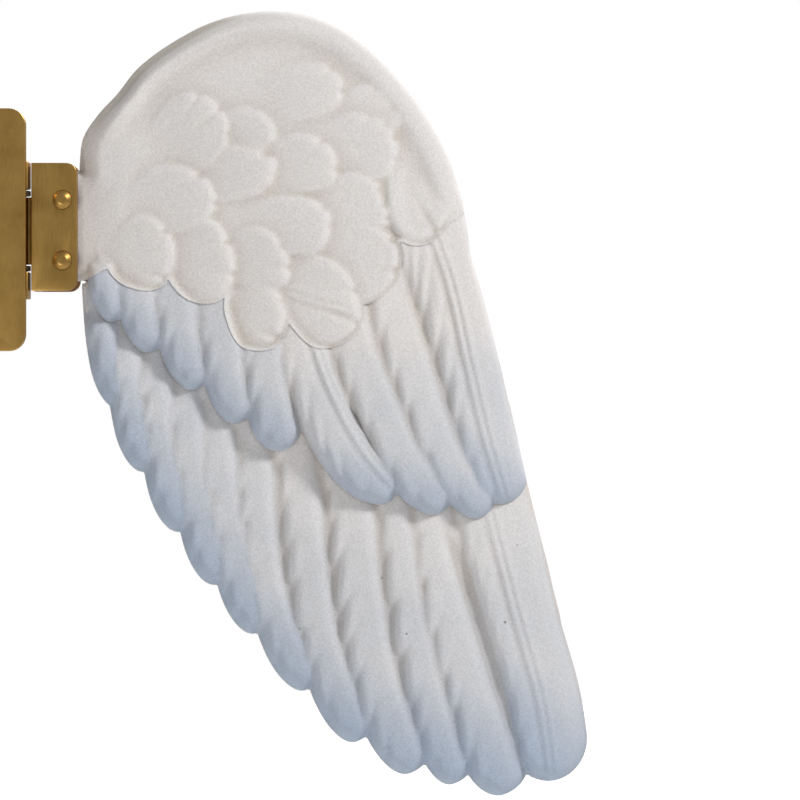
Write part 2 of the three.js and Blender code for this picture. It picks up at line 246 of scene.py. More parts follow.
# A tier is one casting: height and fine detail, blue tint, and edge, the distance inside its outline.
def newTier():
    shape = sheetX.shape
    return {
        "height": np.zeros(shape), "detail": np.zeros(shape), "tint": np.zeros(shape),
        "edge": np.full(shape, -50.0),
    }


# The part of the sheet that an outline needs.
def window(outline, margin=1.0):
    low = outline.min(axis=0) - margin
    high = outline.max(axis=0) + margin
    column = [int((v - sheet["left"]) / sheet["pitch"]) for v in (low[0], high[0])]
    row = [int((v - sheet["low"]) / sheet["pitch"]) for v in (low[1], high[1])]
    return slice(max(0, row[0]), row[1] + 1), slice(max(0, column[0]), column[1] + 1)


# Lays one feather or scale on a tier: it shows where it stands highest.
def lay(tier, area, covered, height, detail, tint, edge):
    wins = covered & (height > tier["height"][area])
    for key, value in (("height", height), ("detail", detail), ("tint", tint)):
        tier[key][area] = np.where(wins, value, tier[key][area])
    tier["edge"][area] = np.maximum(tier["edge"][area], edge)


# Long feathers, outermost first: the shaft from quill to tip, and half widths at the quill and near the tip,
# for the inner side, the outer side or both.
# rachis is the height of the shaft lines where they show; the others change the style for that feather.
primaries = [
    {"shaft": [[73, -28], [77.2, -45], [81.2, -60], [84.6, -72], [86.4, -84.2]], "inner": (7.0, 6.1),
     "outer": (7.4, 6.0), "rachis": 1.6, "sweep": (1.1, 1.1), "lobes": 0.35, "deep": 0.9},
    {"shaft": [[66, -28], [68.4, -50], [70.6, -60], [74.6, -73], [78.8, -86.2]], "inner": (3.0, 4.6),
     "outer": (3.4, 5.2), "sweep": (1.6, 0.9)},
    {"shaft": [[60.8, -28], [63.2, -51], [66.6, -68], [70.9, -84.5]], "both": (2.9, 3.7)},
    {"shaft": [[53.6, -26], [56.5, -50], [59.2, -67], [64.4, -82.8]], "inner": (4.1, 4.4),
     "outer": (4.1, 4.2)},
    {"shaft": [[46, -24], [48.6, -46], [50.9, -62], [56.4, -77.9]], "inner": (3.7, 3.8), "outer": (3.7, 3.9)},
    {"shaft": [[39.6, -22], [41.4, -42], [43.6, -56], [48.8, -70]], "both": (3.8, 3.6)},
    {"shaft": [[34.2, -18], [36, -38], [41.2, -61.4]], "both": (3.4, 3.8)},
    {"shaft": [[29.6, -14.5], [31.5, -34], [35.4, -54]], "both": (3.4, 3.6)},
    {"shaft": [[25.6, -11.5], [27, -30], [30, -46]], "both": (3.2, 3.4)},
    {"shaft": [[21.4, -9.5], [22.4, -24], [24.8, -37]], "inner": (2.8, 3.2), "outer": (2.6, 3.2)},
    {"shaft": [[17.8, -8.6], [18.8, -17], [21, -27.5]], "inner": (2.4, 2.9), "outer": (2.6, 2.9)},
]
coverts = [
    {"shaft": [[66.5, 3], [70.6, -8], [73.4, -20], [76, -31], [79.2, -41.8]], "inner": (7.6, 4.9),
     "outer": (6.4, 4.4), "rachis": 1.9, "sweep": (1.3, 1.0), "riseFrom": -0.2, "riseTo": 0.4, "lobes": 0.8,
     "deep": -0.3},
    {"shaft": [[59.6, -2], [62.6, -15], [66, -25], [69.6, -34], [75.4, -43.9]], "inner": (4.0, 3.9),
     "outer": (5.2, 3.4)},
    {"shaft": [[52.6, -4], [56, -18], [60.2, -28], [64.2, -36], [69.2, -43.2]], "inner": (3.9, 4.0),
     "outer": (3.9, 3.8)},
    {"shaft": [[46, -8], [48.6, -19], [52.2, -28], [56.2, -35], [61.6, -41.4]], "inner": (4.3, 4.8),
     "outer": (4.3, 3.8), "rachis": 1.7, "rachisAt": 2.3, "riseTo": 0.4},
    {"shaft": [[40.6, -8], [42.6, -19], [45.2, -33.9]], "inner": (4.2, 4.0), "outer": (4.0, 3.6),
     "sweep": (1.4, 1.0)},
    {"shaft": [[34.6, -7], [36.4, -18], [38.4, -29.8]], "inner": (3.9, 3.7), "outer": (3.9, 3.6)},
    {"shaft": [[28.6, -5], [30, -15], [32.2, -24.8]], "inner": (3.8, 3.6), "outer": (3.8, 3.4)},
    {"shaft": [[22.6, -4], [23.8, -11], [25.6, -19.2]], "inner": (3.4, 3.3), "outer": (3.4, 3.2)},
    {"shaft": [[18.4, -5], [19, -9], [20.2, -14.6]], "inner": (2.4, 2.6), "outer": (2.6, 2.6)},
]
# The barbs part into lobes along each feather's inner edge: every lobe's end stands over the next.
longFeather = {
    "sweep": (2.3, 0.7), "fullAt": 0.6,  # the tip's curve on each side, and where the far width is reached
    "gap": 6.0, "jitter": 1.6, "spare": 8.0, "slant": 0.5, "slantPower": 1.8, "waver": 0.35,
    "lobe": 0.8, "bulge": 0.75, "lobeDepth": (0.45, 1.2), "lobeFall": 0.55, "lobeCurve": (1.5, 0.7),
    "innerFade": (-0.1, 0.75),  # where the lobes start, as a share of the inner half width
    "crownHalf": 5.5, "tipFall": 0.35, "tipFrom": 7, "tintSlant": 1.2, "hazeFade": (0.6, 2.2),
}
# The shaft of an outer feather: two fine lines, grooves between and beside them, and fine barbs outside.
shaftLine = {
    "apart": 0.55, "wide": 0.28, "high": 0.4, "second": 0.9,
    "between": (0.22, 0.25), "beside": (0.25, 1.35, 0.5),
    "barbGap": 1.6, "barbSlant": 0.9, "barbHigh": 0.03,
}


# The outline of a long feather: a line down each side of the shaft, drawn in to the tip.
def shaftSides(feather, shaft, arcs):
    steps = np.gradient(shaft, axis=0)
    normal = np.stack([-steps[:, 1], steps[:, 0]], axis=1) / np.hypot(steps[:, 0], steps[:, 1])[:, None]
    inSweep, outSweep = feather.get("sweep", longFeather["sweep"])
    inner, outer = (feather.get(key, feather.get("both")) for key in ("inner", "outer"))
    sides = []
    for (near, far), sign, sweep in ((outer, 1, outSweep), (inner, -1, inSweep)):
        start = arcs[-1] - sweep * far
        body = arcs[arcs < start - 0.5]
        turn = start + (arcs[-1] - start) * np.sin(np.linspace(0, math.pi / 2, 12))
        at = np.concatenate([body, turn])
        reach = np.interp(at / arcs[-1], [0, longFeather["fullAt"]], [near, far])
        reach *= np.sqrt(1 - np.clip((at - start) / (arcs[-1] - start), 0, 1) ** 2)
        centre = np.stack([np.interp(at, arcs, shaft[:, k]) for k in (0, 1)], axis=1)
        aside = np.stack([np.interp(at, arcs, normal[:, k]) for k in (0, 1)], axis=1)
        sides.append(centre + sign * aside * reach[:, None])
    return np.vstack([sides[0], sides[1][-2::-1]])


# 0 to 1 along each lobe of the barbs, falling back to 0 where the next one starts.
def lobesAlong(chance, arc, side, length):
    starts = [-longFeather["spare"]]
    while starts[-1] < length + longFeather["spare"]:
        starts.append(starts[-1] + longFeather["gap"] + longFeather["jitter"] * chance.uniform(-1, 1))
    starts = np.array(starts)
    at = arc - longFeather["slant"] * np.abs(side) ** longFeather["slantPower"]
    at = at + longFeather["waver"] * np.sin(side * 1.3 + arc / 6)
    lobe = np.clip(np.searchsorted(starts, at) - 1, 0, len(starts) - 2)
    share = (at - starts[lobe]) / (starts[lobe + 1] - starts[lobe])
    depth = chance.uniform(*longFeather["lobeDepth"], len(starts))[lobe]
    return np.clip(share, 0, 1), depth


def addShaftLines(detail, feather, arc, side, length):
    line = shaftLine
    lift = feather["rachis"] * (1 - 0.5 * arc / length)
    aside = side - feather.get("rachisAt", 0)
    first, second = (bump(aside + sign * line["apart"], line["wide"]) for sign in (-1, 1))
    twin = first + line["second"] * second
    deep, wide = line["between"]
    besideDeep, besideAt, besideWide = line["beside"]
    grooves = besideDeep * bump(aside + besideAt, besideWide) + deep * bump(aside, wide)
    detail = detail * smooth(-aside, 0.9, 2.4) + lift * (line["high"] * twin - grooves)
    barbs = np.sin((arc - line["barbSlant"] * np.abs(aside)) * 2 * math.pi / line["barbGap"])
    return detail + line["barbHigh"] * barbs * smooth(aside, 1.0, 1.8)


# A long feather: a rounded ridge, lobed along its inner edge, with a fine double shaft where it shows.
def paintLongFeather(tier, feather, style, seed):
    chance = np.random.default_rng(seed)
    shaft = spline(feather["shaft"], steps=8)
    arcs = np.concatenate([[0], np.cumsum(np.hypot(*np.diff(shaft, axis=0).T))])
    outline = shaftSides(feather, shaft, arcs)
    area = window(outline)
    x, z = sheetX[area], sheetZ[area]
    inside = insideDistance(outline, x, z)
    arc, side, length = alongLine(shaft, x, z)
    riseFrom, riseTo = (feather.get(key, style[key]) for key in ("riseFrom", "riseTo"))
    risen = smooth(arc / length, riseFrom, riseTo)
    share, depth = lobesAlong(chance, arc, side, length)
    inner = smooth(-side / feather.get("inner", feather.get("both"))[1], *longFeather["innerFade"])
    late, full = longFeather["lobeCurve"]
    lobed = np.sin(math.pi * share ** late) ** full - longFeather["lobeFall"]  # steeper towards the lobe's end
    swell = feather.get("lobes", 1) * inner * depth * lobed
    rise = np.clip((inside + longFeather["bulge"] * swell) / style["groove"], 0, 1)
    wall = np.sin(rise * math.pi / 2) ** style["wallPower"]
    crest = style["tongue"] + (style["crest"] - style["tongue"]) * risen
    crown = style["crown"] * np.clip(1 - (side / longFeather["crownHalf"]) ** 2, 0, 1)
    sink = style["sink"] + feather.get("deep", 0) * smooth(-side, 0, 2)
    tipFall = longFeather["tipFall"] * smooth(arc, length - longFeather["tipFrom"], length)
    height = crest - sink * np.maximum(risen, 0.7) * (1 - wall) + crown - tipFall

    detail = longFeather["lobe"] * swell * smooth(inside, 0.2, 1.6)
    if feather.get("rachis"):
        detail = addShaftLines(detail, feather, arc, side, length)
    detail *= np.maximum(risen, 0.5) * smooth(inside, 0, 0.5)
    toTip = length - arc
    near, far = style["tintTo"]
    tint = style["tint"] * (1 - smooth(toTip + longFeather["tintSlant"] * np.clip(side, -3, 3), near, far))
    hazeNear, hazeFar = longFeather["hazeFade"]
    tint = np.maximum(tint, style["haze"] * (1 - smooth(toTip, far * hazeNear, far * hazeFar)))
    lay(tier, area, inside > 0, height, detail, tint, inside)


# The upper leading edge, then the outline of the whole wing, and of the plain part round the scales.
arch = [
    [15.6, 12.75], [18, 16.5], [20.7, 19.4], [23.7, 23.2], [27.6, 26.3], [32.5, 29.2], [36.5, 30.8],
    [40.5, 31.7], [45, 32], [49.5, 31.4], [54, 29.7], [58.5, 26.5], [63, 22], [66.6, 17.2], [69.9, 11.2],
]
wholeEdge = arch + [
    [72, 5.2], [73.2, -0.8], [73.7, -4.6], [75.3, -9.8], [77.6, -18.8], [79.8, -27.8], [81.8, -36.8],
    [84, -45.8], [86.4, -54.8], [89.1, -63.8], [90.8, -69.8], [91.7, -74.6], [92.2, -79], [92, -84],
    [89, -88], [84, -92], [40, -92], [10, -60], [9, -12], [10.5, -9], [10.5, -9], [10.5, 8], [10.5, 8],
    [15.1, 8], [15.1, 8],
]
rootCorners = [[10.5, -9], [10.5, -9], [10.5, 8], [10.5, 8], [15.1, 8], [15.1, 8]]
shoulderPlain = rootCorners + arch + [
    [72.1, 5], [72.7, 2.9], [72.5, 1.6], [71, 0.6], [68, -1], [62, -3], [55, -4], [48, -9], [41, -12],
    [34, -8], [27, -5.5], [20, -6.5], [16.5, -8.2],
]
# Scales: the rim from foot to foot, how far the free end rises, and extras.
scales = [
    {"rim": [[41, 18.5], [44.5, 22.8], [50.9, 24.3], [53.9, 22.6], [55, 20], [53.6, 17.2], [50, 15.8],
             [45.4, 15.8]], "rise": 0.75},
    {"rim": [[53.5, 16], [56, 20.4], [60, 21.4], [63.2, 19.8], [64.3, 17], [62.9, 14.2], [58, 13.2]],
     "rise": 0.7, "inner": 1.5},
    {"rim": [[50.5, 12.5], [54, 16.2], [58.4, 16.5], [61.2, 15.3], [62.7, 12.6], [62.6, 9.6], [60.6, 6.9],
             [55, 7.2]], "rise": 0.95, "ridges": 4},
    {"rim": [[42, 9.5], [45.5, 13], [50.1, 13.3], [53, 11.4], [53.9, 8.5], [52.6, 5.6], [46, 4.8]],
     "rise": 0.85},
    {"rim": [[62.4, 14.2], [65.6, 14.6], [69.4, 10.8], [71, 5], [70.4, 0.3], [67.8, -2.7], [64, -2.9],
             [61.4, 0.6], [61.2, 8]], "rise": 1.0, "dish": 0.5},
    {"rim": [[49.5, 4], [54.8, 7.6], [59.5, 6.7], [60.4, 4.2], [61.5, 1.8], [61.4, -1], [56.5, -3],
             [50.5, -1.6]], "rise": 0.9, "ridges": 5},
    {"rim": [[37.5, 1], [43, 3.7], [48.6, 4], [52, 2.6], [52.9, 0], [52.1, -3], [49.5, -4.7], [42, -3.8]],
     "rise": 1.0},
    {"rim": [[50.5, -3], [54, 0.3], [58, 0.6], [62, -1.7], [63.4, -4.6], [62.6, -8.2], [60, -10.9], [57, -12],
             [52, -9.4]], "rise": 0.95, "inner": 1.7},
    {"rim": [[36.5, -3.5], [39.5, -0.8], [43.5, -0.9], [45.9, -3.4], [46.9, -6.6], [45.7, -9.5], [41.5, -9.8],
             [37.5, -8]], "rise": 1.0},
    {"rim": [[37, -11], [40.5, -8.8], [44.8, -9.9], [46.4, -13], [45.9, -16.8], [43.5, -18.8], [39.5, -18.4],
             [37.4, -15]], "rise": 0.95},
    {"rim": [[44.2, -7], [47.5, -4.7], [51.5, -5], [55.3, -7.2], [57.3, -11.4], [57.4, -15], [54.5, -17.9],
             [50.5, -18.5], [47.4, -16], [45, -12]], "rise": 1.05, "quill": True},
    {"rim": [[25.6, 11.5], [27, 16.8], [31, 19.6], [35.2, 18.7], [37.8, 15.4], [37.6, 11.6], [34.5, 8.6],
             [29.5, 8]], "rise": 0.8, "ridges": 3},
    {"rim": [[33.5, 13], [37.5, 16.9], [41.7, 17.2], [44.4, 14.9], [44.6, 12.3], [42.6, 10.6], [37, 10.4]],
     "rise": 0.85},
    {"rim": [[31.6, 8], [36, 11.5], [41, 11.5], [44.4, 9.9], [44.6, 7.6], [42.8, 4.6], [37, 3.2], [32.6, 4]],
     "rise": 0.95},
    {"rim": [[22, 3.5], [25, 7.8], [30, 8.8], [34.5, 6.8], [36, 2.8], [33, -0.8], [28, -1.6], [23, -0.4]],
     "rise": 0.85},
    {"rim": [[27.6, -3.6], [31, 0.7], [35.5, 0.5], [38.2, -3.5], [38.6, -8], [36, -11.6], [31.5, -11.4],
             [28.4, -8]], "rise": 0.95},
    {"rim": [[19.4, -3.4], [23, 1], [27.5, 0.5], [29.8, -3.5], [29, -8], [26, -10], [22, -9.2], [19.6, -6.8]],
     "rise": 0.9},
]
shoulderStyle = {
    "top": 3.3, "scaleLow": 3.25, "scaleRise": 1.25, "round": 1.4, "drop": 1.15, "wallPower": 0.9,
    "reach": 2.1, "rising": (-0.1, 0.8), "free": (0.3, 0.85),  # along a scale, as shares of its reach
    "rimIn": 0.8, "rimWide": 0.5, "rimLift": 0.05, "secondRim": (0.12, 0.7, 0.35),
    "notch": 0.45, "ridge": 0.5, "ridgeWide": 0.42, "ridgeSpread": 8.5, "ridgeFan": 0.35, "ridging": (0.35, 0.95),
    "quillLines": ((0.5, 1), (-0.4, 1), (0.05, -1), (-1.2, -0.8)), "quillHigh": 0.22, "quillWide": 0.3,
    "bandIn": 2.6, "bandWide": 1.5, "bandLift": 1.0,  # the raised band along the leading edge
    "bead": (0.35, 2.7, 0.4), "rootTo": (30, 52),  # a fine bead inside it near the root: height, inset, width
    "sideFall": 3.0, "sideWide": 2.3, "sideTo": (26, 46),  # the side face that shows near the root
    "edgeRound": 2.1, "rootRound": 0.2, "freeRound": 1.8, "roundSoft": 0.8,
}


# A short overlapping feather: it rises from its foot to a rounded free edge with a fine rim.
def paintScale(tier, scale, seed):
    style = shoulderStyle
    chance = np.random.default_rng(seed)
    outline = spline(scale["rim"], closed=True, steps=5)
    area = window(outline)
    x, z = sheetX[area], sheetZ[area]
    inside = insideDistance(outline, x, z)
    middle = outline.mean(axis=0)
    foot = np.array(scale["rim"][0]) * 0.5 + np.array(scale["rim"][-1]) * 0.5
    axis = (middle - foot) / np.hypot(*(middle - foot))
    reach = style["reach"] * np.hypot(*(middle - foot))
    along = ((x - foot[0]) * axis[0] + (z - foot[1]) * axis[1]) / reach
    side = (z - foot[1]) * axis[0] - (x - foot[0]) * axis[1]
    ridges = np.zeros(x.shape)
    count = scale.get("ridges", 2)
    for ridge in range(count):
        spread = (ridge + 0.5 + chance.uniform(-0.25, 0.25)) / count - 0.5
        offset = side - spread * style["ridgeSpread"] * (style["ridgeFan"] + along)
        strength = chance.uniform(0.6, 1.2)
        ridges += strength * bump(offset, style["ridgeWide"]) * smooth(along, *style["ridging"])
    inside = inside - style["notch"] * ridges
    wall = np.sin(np.clip(inside / style["round"], 0, 1) * math.pi / 2) ** style["wallPower"]
    rise = style["scaleRise"] * scale["rise"] * smooth(along, *style["rising"])
    free = smooth(along, *style["free"])
    height = style["scaleLow"] + rise - style["drop"] * (1 - wall) * free
    if scale.get("dish"):
        height -= scale["dish"] * smooth(inside, 0.5, 3.6) * smooth(along, 0, 0.4)
    detail = style["rimLift"] * free * bump(inside - style["rimIn"], style["rimWide"])
    if scale.get("inner"):
        deep, further, wide = style["secondRim"]
        detail -= deep * free * bump(inside - scale["inner"] - further, wide)
    detail -= style["ridge"] * ridges
    if scale.get("quill"):
        fadeIn, fadeOut = smooth(along, 0.0, 0.25), 1 - smooth(along, 0.7, 1.0)
        for place, sign in style["quillLines"]:
            offset = side - place - 1.2 * (along - 0.4) ** 2
            detail += style["quillHigh"] * sign * bump(offset, style["quillWide"]) * fadeIn * fadeOut
    detail *= smooth(inside, 0, 0.4)
    lay(tier, area, inside > 0, height, detail, np.zeros(x.shape), inside)


primaryStyle = {
    "web": 0.9, "tongue": 1.4, "crest": 3.3, "sink": 2.2, "crown": 0.35, "groove": 2.5, "wallPower": 0.9,
    "riseFrom": 0.2, "riseTo": 0.42, "tintTo": (0, 30), "tint": 1.0, "haze": 0.34,
}
covertStyle = {
    "web": 2.3, "tongue": 3.4, "crest": 4.8, "sink": 1.8, "crown": 0.3, "groove": 2.4, "wallPower": 0.85,
    "riseFrom": 0.12, "riseTo": 0.6, "tintTo": (0, 19), "tint": 0.85, "haze": 0.36,
}
seeds = {"primary": 20, "covert": 60, "shoulder": 100}
# How far each casting's relief is softened, by the mould and the slip.
soften = {"primary": 0.34, "covert": 0.32, "shoulder": 0.25, "back": 0.5, "detail": 0.22}
# Where castings meet: the luting seam is seamHalf either side of the sheet, and lip is an edge's upright part.
joint = {
    "seamHalf": 0.12, "lip": 0.12, "gap": 0.1, "spare": 0.03, "thinnest": 0.28, "underSoft": 0.3,
    "tuck": (-0.2, 1.7), "primaryTuck": 1.2, "covertTuck": 2.6,  # where one laps over, and down to what height
    "lap": (-1.2, 0.4), "primaryRound": 1.3, "covertRound": 1.15, "backRound": 1.5,
}
root = {"rivetX": 12.8, "rivetZ": (3.5, -5.5), "hole": 1.1, "level": 2.3, "flat": (15.6, 22)}
holes = np.minimum(*[np.hypot(sheetX - root["rivetX"], sheetZ - z) - root["hole"] for z in root["rivetZ"]])
whole = insideDistance(spline(wholeEdge, closed=True, steps=4), sheetX, sheetZ)
waves = 0.05 * (np.sin(sheetX / 3.1 + 0.7) * np.sin(sheetZ / 4.3) + np.sin((sheetX + sheetZ) / 5.7 + 1.9))
rootFlat = smooth(sheetX, *root["flat"])


# Brings a front surface down to its free edge in a rounded lip.
def rounded(front, under, edge, radius):
    share = np.clip(edge / radius, 0, 1)
    fall = np.sqrt(1 - (1 - share) ** 2)
    return under + joint["lip"] + (front - under - joint["lip"]) * fall


def finishTier(tier, blur):
    tier["edge"] = np.minimum(np.minimum(tier["edge"], whole), holes)
    tier["front"] = blurred(tier["height"], blur) + blurred(tier["detail"], soften["detail"])
    return tier


# The plain part of a tier, which joins its feathers.
def layPlain(tier, outline, height):
    inside = insideDistance(spline(outline, closed=True, steps=4), sheetX, sheetZ)
    blank = np.zeros(sheetX.shape)
    lay(tier, (slice(None), slice(None)), inside > 0, blank + height, blank, blank, inside)


primaryWeb = [
    [16, -8.6], [24, -9], [34, -14], [47, -22], [61, -27], [79, -28], [85, -50], [88, -66], [82, -76],
    [73.2, -81.6], [66.6, -80], [57.8, -75.6], [49.6, -69], [42.2, -61.4], [35.6, -53], [30, -44.6],
    [24.8, -36], [20.6, -27], [17.6, -18],
]
covertWeb = [
    [17, -5], [20, 0], [42, 2], [58, 4], [73, 5], [76, -12], [79, -29], [76, -35], [69, -36], [61, -32],
    [52, -26], [44, -24], [36, -19], [28, -13], [21, -9],
]
# The outermost long feather stands off from its neighbour behind a deep valley.
valley = {"line": [[68.8, -42], [71.8, -52], [74.9, -62], [78.4, -73], [81.4, -82]], "deep": 1.5, "wide": 0.9}


def cutValley(tier):
    arc, side, length = alongLine(spline(valley["line"]), sheetX, sheetZ)
    deepest = smooth(arc, 0.1, 9) * (1 - 0.5 * smooth(arc, length * 0.6, length))
    tier["height"] -= valley["deep"] * deepest * bump(side, valley["wide"])


def drawFeatherTier(feathers, style, web, seed, blur):
    tier = newTier()
    layPlain(tier, web, style["web"])
    for i, feather in enumerate(feathers):
        paintLongFeather(tier, feather, style, seed + i)
    if feathers is primaries:
        cutValley(tier)
    tier["height"] = np.maximum(tier["height"], style["web"])
    return finishTier(tier, blur)


def drawShoulder():
    style = shoulderStyle
    tier = newTier()
    band = bump(np.clip(whole - style["bandIn"], 0, 50), style["bandWide"])
    atRoot = 1 - smooth(sheetX, *style["rootTo"])
    high, inset, wide = style["bead"]
    bead = high * bump(whole - inset, wide) * atRoot
    atSide = 1 - smooth(whole, 0.1, style["sideWide"])
    sideBand = style["sideFall"] * atSide * (1 - smooth(sheetX, *style["sideTo"]))
    layPlain(tier, shoulderPlain, style["top"] + style["bandLift"] * band + bead - sideBand)
    for i, scale in enumerate(scales):
        paintScale(tier, scale, seeds["shoulder"] + i)
    tier["height"] = np.where(tier["edge"] > 0, tier["height"], style["top"])
    finishTier(tier, soften["shoulder"])
    outer = style["edgeRound"] + style["rootRound"] * atRoot
    radius = np.where(whole < tier["edge"] + 0.6, outer, style["freeRound"])
    tier["lipRound"] = blurred(radius, style["roundSoft"])
    tier["front"] = root["level"] + (tier["front"] - root["level"]) * rootFlat
    return tier


# A casting is lower where the next one laps over it.
def tuckUnder(tier, above, level):
    covered = smooth(above["edge"], *joint["tuck"])
    tier["front"] -= np.clip(tier["front"] - level, 0, 9) * covered


# Sets a casting's underside just clear of the one below it, and rounds its free edge.
def seat(tier, below, radius):
    if below is None:
        tier["under"] = np.full(sheetX.shape, joint["seamHalf"])
    else:
        lapped = smooth(below["edge"], *joint["lap"])
        tier["under"] = joint["seamHalf"] + (below["front"] + joint["gap"] - joint["seamHalf"]) * lapped
        tier["under"] = blurred(tier["under"], joint["underSoft"]) + joint["spare"]
    tier["outward"] = np.maximum(tier["front"] + waves * rootFlat, tier["under"] + joint["thinnest"])
    tier["front"] = rounded(tier["outward"], tier["under"], tier["edge"], radius)


# The back shell's outer face repeats the front's relief, softened.
backStyle = {"thick": 2.2, "share": 0.42, "around": 2.6, "web": 1.2, "tint": 0.7, "tintSoft": 0.8}


def drawBack(primary, covert, shoulder):
    style = backStyle
    highest = np.where(primary["edge"] > 0, primary["front"], style["web"])
    edge = primary["edge"]
    for tier in (covert, shoulder):
        highest = np.maximum(highest, np.where(tier["edge"] > 0, tier["front"], 0))
        edge = np.maximum(edge, tier["edge"])
    relief = blurred(highest, soften["back"])
    outer = style["thick"] + style["share"] * (relief - style["around"])
    outer = root["level"] + (outer - root["level"]) * rootFlat
    tint = np.where(primary["edge"] > 0, primary["tint"], 0)
    seam = np.full(sheetX.shape, joint["seamHalf"])
    return {
        "front": -seam, "under": -rounded(outer, seam, edge, joint["backRound"]),
        "edge": edge, "tint": style["tint"] * blurred(tint, style["tintSoft"]), "outward": relief,
    }


primaryTier = drawFeatherTier(primaries, primaryStyle, primaryWeb, seeds["primary"], soften["primary"])
covertTier = drawFeatherTier(coverts, covertStyle, covertWeb, seeds["covert"], soften["covert"])
shoulderTier = drawShoulder()
tuckUnder(primaryTier, covertTier, joint["primaryTuck"])
tuckUnder(covertTier, shoulderTier, joint["covertTuck"])
seat(primaryTier, None, joint["primaryRound"])
seat(covertTier, primaryTier, joint["covertRound"])
seat(shoulderTier, covertTier, shoulderTier["lipRound"])
backTier = drawBack(primaryTier, covertTier, shoulderTier)
report("relief drawn")

# The castings are grids with this spacing, in places drawn closer together near an edge.
castingPitch = {
    "primary": 0.3, "covert": 0.28, "shoulder": 0.28, "back": 0.4, "crowd": 1.5, "crowdPower": 1.35,
}
sheetFront = 6  # how far behind the plate's front face the sheet lies
hollowReach = 1.4  # a point is in a hollow where it lies below the mean height this far round it


# Reads a sheet of values between its points.
def sampled(values, x, z):
    column = np.clip((x - sheet["left"]) / sheet["pitch"], 0, values.shape[1] - 1.001)
    row = np.clip((z - sheet["low"]) / sheet["pitch"], 0, values.shape[0] - 1.001)
    c, r = column.astype(int), row.astype(int)
    u, v = column - c, row - r
    low = values[r, c] * (1 - u) + values[r, c + 1] * u
    high = values[r + 1, c] * (1 - u) + values[r + 1, c + 1] * u
    return low * (1 - v) + high * v


def readPoints(mesh):
    points = np.empty(len(mesh.vertices) * 3)
    mesh.vertices.foreach_get("co", points)
    return points.reshape(-1, 3)


def writePoints(mesh, points):
    mesh.vertices.foreach_set("co", np.ascontiguousarray(points, np.float32).ravel())
    mesh.update()


def selectedPoints(mesh):
    chosen = np.empty(len(mesh.vertices), bool)
    mesh.vertices.foreach_get("select", chosen)
    return chosen


def objectMode():
    bpy.ops.object.mode_set(mode="OBJECT")


def choose(piece):
    if bpy.context.object and bpy.context.object.mode != "OBJECT":
        objectMode()
    bpy.ops.object.select_all(action="DESELECT")
    piece.select_set(True)
    bpy.context.view_layer.objects.active = piece


# Enters edit mode with all or nothing selected, in the given select mode.
def editPiece(mode, action="DESELECT"):
    bpy.ops.object.mode_set(mode="EDIT")
    bpy.ops.mesh.select_mode(type=mode)
    bpy.ops.mesh.select_all(action=action)


def turnOutward(piece):
    choose(piece)
    editPiece("FACE", "SELECT")
    bpy.ops.mesh.normals_make_consistent(inside=False)
    objectMode()
    bpy.ops.object.shade_smooth_by_angle(angle=math.radians(60))


# A grid over the tier, with the squares outside its outline deleted and its rim left selected.
def cutGrid(name, tier, pitch):
    shown = tier["edge"] > 0
    low = np.array([sheetX[shown].min(), sheetZ[shown].min()]) - 1
    size = np.array([sheetX[shown].max(), sheetZ[shown].max()]) + 1 - low
    count = np.ceil(size / pitch).astype(int)
    bpy.ops.object.select_all(action="DESELECT")
    bpy.ops.mesh.primitive_grid_add(x_subdivisions=int(count[0]), y_subdivisions=int(count[1]), size=1)
    piece = bpy.context.object
    piece.name = name
    mesh = piece.data
    points = readPoints(mesh)
    points[:, :2] = low + (points[:, :2] + 0.5) * size
    writePoints(mesh, points)
    inside = sampled(tier["edge"], points[:, 0], points[:, 1])
    corners = np.empty(len(mesh.loops), int)
    mesh.loops.foreach_get("vertex_index", corners)
    kept = inside[corners.reshape(-1, 4)].mean(axis=1) > 0.02
    editPiece("FACE")
    objectMode()
    mesh.polygons.foreach_set("select", ~kept)
    bpy.ops.object.mode_set(mode="EDIT")
    bpy.ops.mesh.select_mode(type="FACE")
    bpy.ops.mesh.delete(type="FACE")
    bpy.ops.mesh.select_mode(type="VERT")
    bpy.ops.mesh.select_all(action="DESELECT")
    bpy.ops.mesh.select_non_manifold()
    objectMode()
    return piece


# Moves the grid's rim onto the outline, and the rows near it closer to it.
def fitRim(mesh, edge):
    rim = selectedPoints(mesh)
    points = readPoints(mesh)
    slopeZ, slopeX = np.gradient(edge, sheet["pitch"])
    crowd = castingPitch["crowd"]
    for turn in range(3):
        inside, gx, gz = (sampled(values, points[:, 0], points[:, 1]) for values in (edge, slopeX, slopeZ))
        steep = np.maximum(np.hypot(gx, gz), 0.3)
        aim = np.where(rim, 0, inside)
        if turn == 0:
            near = (~rim) & (inside < crowd)
            closer = crowd * np.clip(inside / crowd, 0.02, 1) ** castingPitch["crowdPower"]
            aim = np.where(near, closer, aim)
        move = np.where(rim | (turn == 0), aim - inside, 0)
        points[:, 0] += move * gx / steep
        points[:, 1] += move * gz / steep
    writePoints(mesh, points)


